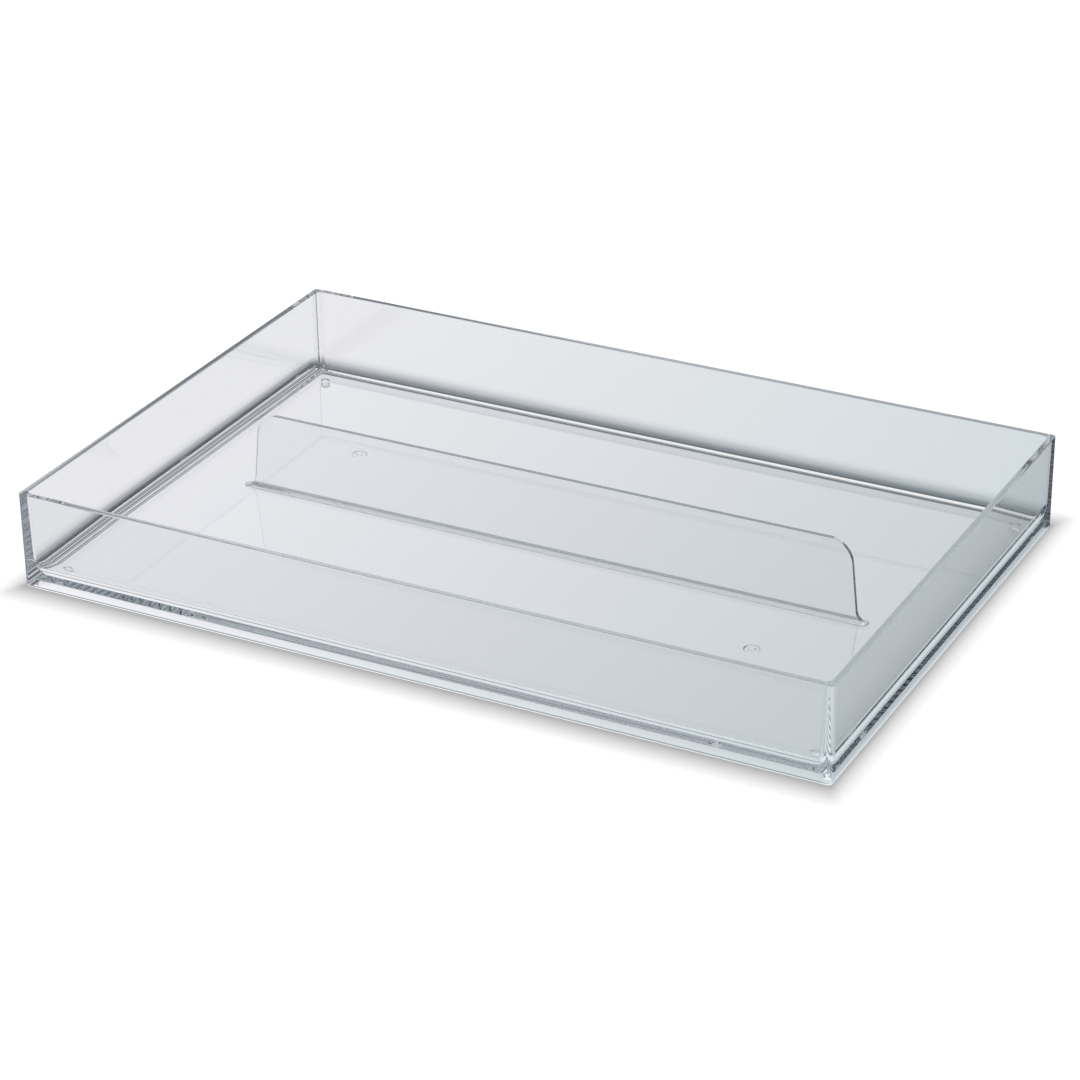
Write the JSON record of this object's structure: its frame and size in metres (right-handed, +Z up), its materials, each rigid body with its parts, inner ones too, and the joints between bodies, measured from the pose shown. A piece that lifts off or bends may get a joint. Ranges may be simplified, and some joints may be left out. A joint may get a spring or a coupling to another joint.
{
  "type": "letter tray",
  "caption": "Shallow clear plastic letter tray with straight walls, a floor that sweeps up into them, and a low upright divider along the middle.",
  "frame": {"origin": "on the resting plane, under the middle of the tray", "axes": "+X along the long side, to the right seen from the front; +Y from the front wall to the back wall; +Z up, out of the open top"},
  "size_m": [0.34, 0.225, 0.04],
  "materials": {
    "clear_plastic": "crystal clear moulded plastic, polished, with a faint cool tint",
    "clear_divider": "crystal clear moulded plastic, polished, with a faint cool tint",
    "clear_foot": "crystal clear moulded plastic, polished"
  },
  "bodies": {
    "root": {"tray_shell": "clear_plastic", "centre_divider": "clear_divider", "foot_front_left": "clear_foot", "foot_front_right": "clear_foot", "foot_back_left": "clear_foot", "foot_back_right": "clear_foot"}
  },
  "joints": []
}
